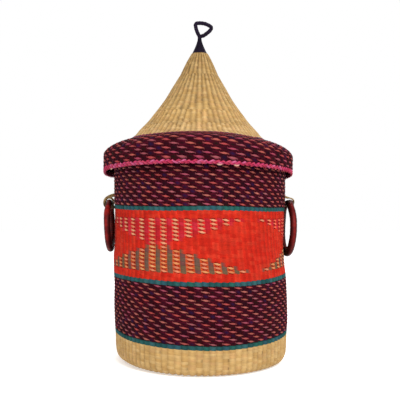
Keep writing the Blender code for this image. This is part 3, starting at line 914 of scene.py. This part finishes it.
# The lid's edge: a plait, and a speck of grass at each stake, three of them large
LARGE_SPECKS = (2, 4, 66)
store = Store()
braid(store, 0.203, 0.407, 40, PINK, 0.0031, 0.0014, (0.0029, 0.0022), False, 0.62)
t = np.linspace(-1, 1, 7)
for number in range(LID_STAKES):
    theta = LID_THETA0 + (number + 0.5) * TAU / LID_STAKES + rng.normal(0, 0.01)
    large = number in LARGE_SPECKS
    size = rng.uniform(1.3, 1.7) if large else rng.uniform(0.25, 0.7)
    outward = outward_at(theta + t * 0.0036 * size / 0.2032)
    height = 0.4015 + 0.0008 * t ** 2 - 0.0004 * size
    store.tube(
        outward * 0.2048 + UP * height[:, None], outward, np.tile(UP, (7, 1)), 0.0008,
        0.0013 * size * (1.02 - t ** 2) ** 0.5 + 0.0001, pick(CREAM if large else CORAL, 7, 0.03),
        closed=False, metres=0.01,
    )
store.build("lid_edge_plait", grass_dyed, "lid", ["lid_edge_braid"], lid_warp)


# Paths for handles and finial
def frame_along(path, hint, closed=True):
    """Unit normals that lean to the hint, and side vectors, along a path."""
    ahead = np.roll(path, -1, 0) - np.roll(path, 1, 0) if closed else np.gradient(path, axis=0)
    ahead /= np.linalg.norm(ahead, axis=1)[:, None]
    normal = hint - ahead * np.einsum("ij,ij->i", hint, ahead)[:, None]
    normal /= np.linalg.norm(normal, axis=1)[:, None]
    return normal, np.cross(ahead, normal)


def smooth_path(knots, steps, closed=False):
    """A smooth curve through some points, in so many steps from each to the next."""
    if closed:
        ends = np.concatenate([knots[-1:], knots, knots[:2]])
    else:
        ends = np.concatenate([knots[:1] * 2 - knots[1:2], knots, knots[-1:] * 2 - knots[-2:-1]])
    fine = [
        0.5 * (2 * b + (c - a) * u + (2 * a - 5 * b + 4 * c - d) * u * u + (3 * b - a - 3 * c + d) * u ** 3)
        for a, b, c, d in zip(ends, ends[1:], ends[2:], ends[3:])
        for u in np.arange(steps) / steps
    ]
    return np.array(fine if closed else fine + [knots[-1]])


# Ring handles
RING_RADIUS, RING_TUBE = 0.0525, 0.0067
PIVOT_X, PIVOT_Z = 0.1987, 0.3425
# Depths below a ring's top, for how much nearer the wall it is there
DEPTHS = (0, 0.0004, 0.0012, 0.004, 0.01, 0.022, 0.035, 0.06)
# Painted light and shade on a ring, from its bottom, -1, to its top, 1
RING_LIGHT = ((-1, -0.8, -0.3, 0.1, 0.75, 1), (0.45, 0.7, 0.95, 1.05, 1.0, 0.5))

# Straps of the grass loops, as (distance from the middle, height)
STRAP_LEFT = (
    (0.18, 0.36), (0.19, 0.3588), (0.198, 0.3562), (0.205, 0.3516), (0.2092, 0.3455), (0.2096, 0.3385),
    (0.2066, 0.3322), (0.2, 0.3296), (0.19, 0.33), (0.18, 0.33),
)
STRAP_RIGHT = (
    (0.179, 0.3572), (0.185, 0.3558), (0.19, 0.3541), (0.1948, 0.3522), (0.199, 0.3509), (0.203, 0.3497),
    (0.206, 0.3467), (0.2071, 0.3425), (0.206, 0.3383), (0.203, 0.3352), (0.199, 0.3341), (0.193, 0.3336),
    (0.187, 0.3334), (0.179, 0.3334),
)
UNDER_RIGHT = ((0.179, 0.3548), (0.184, 0.3537), (0.189, 0.3521), (0.1925, 0.3511), (0.195, 0.3507))
# From the left strap in to the layer below it
STRAP_STEP = (
    (0, 0.0034), (0, 0.0034), (0.0008, 0.003), (0.0016, 0.0014), (0.0012, 0.0008), (0.001, -0.0006),
    (0.0008, -0.0022), (0, -0.0026), (0, -0.0026), (0, -0.0026),
)
LOOP_STRANDS = 4


def strap(knots, step=0):
    """A strap's route, as distances out and up from the pivot."""
    return smooth_path(np.array(knots) - (PIVOT_X, PIVOT_Z) - step, 5)


def wound():
    """The route of grass wound close round a ring's top, from the wall and back."""
    turn = np.radians(np.linspace(-168, 168, 40))
    round_it = np.stack([np.cos(turn), np.sin(turn)], -1) * 0.0093
    return np.concatenate(
        [[(-0.019, -0.003), (-0.015, -0.0026)], round_it, [(-0.015, 0.0026), (-0.019, 0.003)]]
    )


# slope, bend, nearer: how a ring leans in to the wall. longer: its height over its width. thick: its roll.
# slim, foot: what the roll loses at the pivot and gains at the bottom. light, glint: a factor on its painted
# shade, and a painted highlight. half: its loop's half thickness. routes: the loop's layers, and how far
# apart their strands lie
LEFT = SimpleNamespace(
    name="left", side=-1, slope=0.038, bend=0, yaw=math.radians(-1.3), longer=0.968,
    nearer=(0, 0, 0.0006, 0.0012, 0.0008, -0.001, -0.0011, -0.0012),
    thick=1, slim=0.1, foot=0.12, light=1, glint=2.0, half=0.0019,
    routes=((wound(), 0.0027), (strap(STRAP_LEFT, STRAP_STEP), 0.0026), (strap(STRAP_LEFT), 0.0024)),
)
RIGHT = SimpleNamespace(
    name="right", side=1, slope=0.0946, bend=0.351, yaw=math.radians(6.6), longer=1.065,
    nearer=(0, 0.0001, 0.001, 0.0034, 0.0046, 0.003, 0.0016, 0.0009),
    thick=1.12, slim=0.3, foot=0.34, light=0.72, glint=0, half=0.0013,
    routes=((strap(STRAP_RIGHT), 0.0024), (strap(UNDER_RIGHT), 0.0023)),
)


def spokes(turn):
    """Unit vectors from a ring's centre, at angles from its top."""
    return np.stack([0 * turn, np.sin(turn), np.cos(turn)], -1)


def near_pivot(turn):
    return bell(wrapped(turn), 0.36)


def near_foot(turn):
    return bell(turn - math.pi, 0.55)


def hang(handle, turn):
    """How far a ring's middle line is moved from a round one."""
    below = RING_RADIUS * (1 - np.cos(turn))
    inward = handle.slope * below - handle.bend * below ** 2 + np.interp(below, DEPTHS, handle.nearer)
    turned = RING_RADIUS * np.sin(turn) * math.tan(handle.yaw)
    return np.stack([-handle.side * (inward + turned), 0 * turn, below * (1 - handle.longer)], -1)


def ring_handle(handle):
    """Leather sewn round a core, with whip stitches along its inner side."""
    store = Store()
    side = handle.side
    centre = np.array([side * PIVOT_X, 0, PIVOT_Z - RING_RADIUS])
    count, sides = 150, 20
    t, around = circle(count), circle(sides)
    spoke, aside = spokes(t), np.tile(X_AXIS, (count, 1))
    roll = RING_TUBE * handle.thick
    wander = (0.0005 * np.sin(3 * t + side) + 0.0003 * np.sin(7 * t + 1.7 * side)) * (1 - near_pivot(t))
    path = centre + spoke * (RING_RADIUS + wander)[:, None]
    lip = bell(wrapped(around - math.pi), 0.34)[None, :]
    crease = 1 + 0.014 * np.sin(31 * t[:, None] + 2 * around) + 0.01 * np.sin(53 * t[:, None] - 3 * around)
    slim = 1 - handle.slim * near_pivot(t)[:, None]
    swell = roll * slim * (1 + 0.012 * np.sin(5 * t)[:, None]) * crease * (1 + 0.05 * lip)
    # The roll swells at its bottom, most of all on its inner side
    foot = 1 + handle.foot * near_foot(t)[:, None] * np.where(np.cos(around) < 0, 2, 0.4)
    skin = skin_round(path, spoke, aside, swell * np.cos(around) * foot, swell * np.sin(around))
    skin += hang(handle, t)[:, None, :]
    # Painted light and shade: the leather is lightest along its outer side, with painted shade at the back,
    # the top and the bottom, darker along the seam, and a painted highlight near the top at the front of the
    # left ring
    back = spoke[:, 1:2]
    crest = bell(np.sin(around) * side - 0.22, 0.5)
    shade = 0.16 + 0.84 * crest[None, :] * (1 - 0.4 * unit(back * 1.5))
    shade = shade * np.interp(spoke[:, 2:], *RING_LIGHT) * np.where(back > 0.15, 0.45, 1.0)
    shade = shade * handle.light * (1 + handle.glint * bell(spoke[:, 2:] - 0.58, 0.16) * (back < 0))
    paint = np.ones((count, sides, 3)) * (shade * (1 - 0.35 * lip))[..., None]
    store.tube(path, spoke, aside, roll, roll, paint, sides=sides, metres=TAU * RING_RADIUS, skin=skin)
    # Whip stitches over the seam
    angle = math.pi + np.linspace(-0.62, 0.62, 9)
    reach = roll * 1.045 + 0.0003 * np.cos(np.linspace(-1.2, 1.2, 9))
    for middle in circle(58):
        lean = middle + np.linspace(-0.028, 0.028, 9)
        out = spokes(lean)
        deep = (1 + 2 * handle.foot * near_foot(lean)) * (1 - handle.slim * near_pivot(lean))
        thread = (
            centre + out * (RING_RADIUS + reach * deep * np.cos(angle))[:, None]
            + X_AXIS * (reach * np.sin(angle))[:, None] + hang(handle, lean)
        )
        hint = out * np.cos(angle)[:, None] + X_AXIS * np.sin(angle)[:, None]
        normal, sideways = frame_along(thread, hint, closed=False)
        paint = np.full((9, 3), 0.55)
        store.tube(thread, normal, sideways, 0.00042, 0.00055, paint, closed=False, metres=0.01)
    name = handle.name
    store.build(
        "ring_" + name + "_leather", leather_brown, "ring_" + name,
        ["handle_leather_" + name, "handle_core_" + name],
    )


def grass_loop(handle):
    """Layers of grass strands round the ring's top and into the wall."""
    store = Store()
    centre = np.array([handle.side * PIVOT_X, 0, PIVOT_Z + 0.0002])
    for route, apart in handle.routes:
        place = np.arange(len(route))
        for strand in range(LOOP_STRANDS):
            aside = (strand - (LOOP_STRANDS - 1) / 2) * apart + 0.0003 * np.sin(place * 0.7 + strand)
            stir = 1 + 0.012 * np.sin(place * 0.5 + strand * 2.1)
            path = centre + np.stack([handle.side * route[:, 0] * stir, aside, route[:, 1] * stir], -1)
            hint = path - centre
            hint[:, 1] = 0
            normal, flat = frame_along(path, hint, closed=False)
            # Painted shade: each strand is darker the lower it runs
            light = np.clip((path[:, 2] - centre[2]) / 0.01 + 0.62, 0.2, 1)[:, None]
            paint = pick(LOOP_STRAW, len(path), 0.05) * light
            store.tube(path, normal, flat, handle.half, 0.0015, paint, sides=8, closed=False, metres=0.07)
    name = handle.name
    store.build("grass_loop_" + name, grass_plain, "basket", ["handle_loop_" + name])


for handle in (LEFT, RIGHT):
    ring_handle(handle)
    grass_loop(handle)


# Finial

# The cap's (height, radius) from its edge up. Its first three rings are the scalloped edge
CAP = (
    (0.6635, 0.0172), (0.665, 0.0177), (0.6665, 0.0172), (0.669, 0.0158), (0.673, 0.0138), (0.677, 0.012),
    (0.6815, 0.01), (0.686, 0.0082), (0.6905, 0.0066), (0.695, 0.0053), (0.6985, 0.0045), (0.702, 0.0041),
    (0.706, 0.0042), (0.7085, 0.0036),
)
CAP_EDGE = 3
# The loop's middle line, as (x, height)
LOOP = (
    (0.0, 0.7075), (0.0079, 0.7084), (0.014, 0.7122), (0.0185, 0.7157), (0.0225, 0.7194), (0.0253, 0.7236),
    (0.025, 0.7275), (0.0205, 0.7309), (0.0128, 0.7344), (0.006, 0.7358), (0.0007, 0.7362), (-0.0064, 0.7355),
    (-0.009, 0.7318), (-0.0083, 0.727), (-0.0075, 0.7232), (-0.0058, 0.718), (-0.0037, 0.7133),
)


def finial_cap():
    """Gathered leather with a scalloped edge."""
    heights, radii = np.transpose(CAP)
    count, sides = len(CAP), 40
    around = circle(sides)
    ruffle = 0.05 * np.cos(8 * around[None, :] + 0.6) * np.linspace(1.2, 0.6, count)[:, None]
    scallop = (np.arange(count) < CAP_EDGE)[:, None] * 0.0011 * np.cos(6 * around)[None, :]
    radius = radii[:, None] * (1 + ruffle)
    skin = np.stack([radius * np.cos(around), radius * np.sin(around), heights[:, None] + scallop], -1)
    # Painted shade in the gathers' creases, and painted light on their folds
    paint = np.ones((count, sides, 3)) * (0.85 + 3 * ruffle[..., None])
    paint[:CAP_EDGE] *= np.array([1.5, 0.9, 0.8])
    store = Store()
    store.tube(
        UP * heights[:, None], np.tile(X_AXIS, (count, 1)), np.tile(Y_AXIS, (count, 1)), 0.01, 0.01,
        paint, sides=sides, closed=False, metres=0.05, skin=skin,
    )
    store.build("finial_leather_cap", leather_black, "lid", ["finial_cap"])


def finial_loop():
    x, height = smooth_path(np.array(LOOP), 6, closed=True).T
    route = np.stack([x, 0 * x, height], -1)
    normal, flat = frame_along(route, np.tile(Y_AXIS, (len(route), 1)))
    ridge = 0.0042 * (1 + 0.05 * np.cos(np.arange(len(route)) * TAU / 6))
    store = Store()
    store.tube(route, normal, flat, ridge * 0.96, ridge, np.ones((len(route), 3)), sides=14, metres=0.1)
    store.build("finial_leather_loop", leather_black, "lid", ["finial_loop"])


finial_cap()
finial_loop()


# Ground and light
WHITE = (1, 1, 1, 1)
floor_mesh = bpy.data.meshes.new("floor")
floor_mesh.from_pydata([(-6, -6, 0), (6, -6, 0), (6, 6, 0), (-6, 6, 0)], [], [(0, 1, 2, 3)])
floor = put_in_scene("floor", floor_mesh)
floor_material, floor_tree, floor_inputs = new_material("floor")
floor_looks = {
    "Base Color": (0.85, 0.85, 0.85, 1), "Emission Color": WHITE, "Emission Strength": 0.42, "Roughness": 0.9,
    "Specular IOR Level": 0.1,
}
fill(floor_tree, floor_inputs, floor_looks)
floor_mesh.materials.append(floor_material)

# The world is white where the camera or a reflection sees it, and lights the basket less
world = bpy.data.worlds.new("world")
bpy.context.scene.world = world
world.use_nodes = True
tree = world.node_tree
lit = tree.nodes["Background"]
fill(tree, lit.inputs, {"Color": WHITE, "Strength": 0.75})
seen = add_node(tree, "Background", "Background", {"Color": WHITE, "Strength": 1.0})
rays = tree.nodes.new("ShaderNodeLightPath").outputs
rays_seen = {0: rays["Is Camera Ray"], 1: rays["Is Glossy Ray"]}
either = add_node(tree, "Math", "Value", rays_seen, operation="MAXIMUM")
mixed = add_node(tree, "MixShader", "Shader", {"Fac": either, 1: lit.outputs["Background"], 2: seen})
fill(tree, tree.nodes["World Output"].inputs, {"Surface": mixed})


def lamp(name, place, target, size, power):
    data = bpy.data.lights.new(name, "AREA")
    data.shape = "DISK"
    data.size = size
    data.energy = power
    lamp_object = put_in_scene(name, data)
    lamp_object.location = place
    lamp_object.rotation_euler = (Vector(target) - Vector(place)).to_track_quat("-Z", "Y").to_euler()


lamp("key", (0.9, -2.6, 2.0), (0, 0, 0.35), 1.4, 96)
lamp("fill", (-2.2, -1.6, 1.0), (0, 0, 0.35), 1.6, 13)
lamp("back", (0.3, 2.2, 1.9), (0, 0, 0.4), 1.4, 22)

bpy.context.scene.view_settings.view_transform = "Standard"
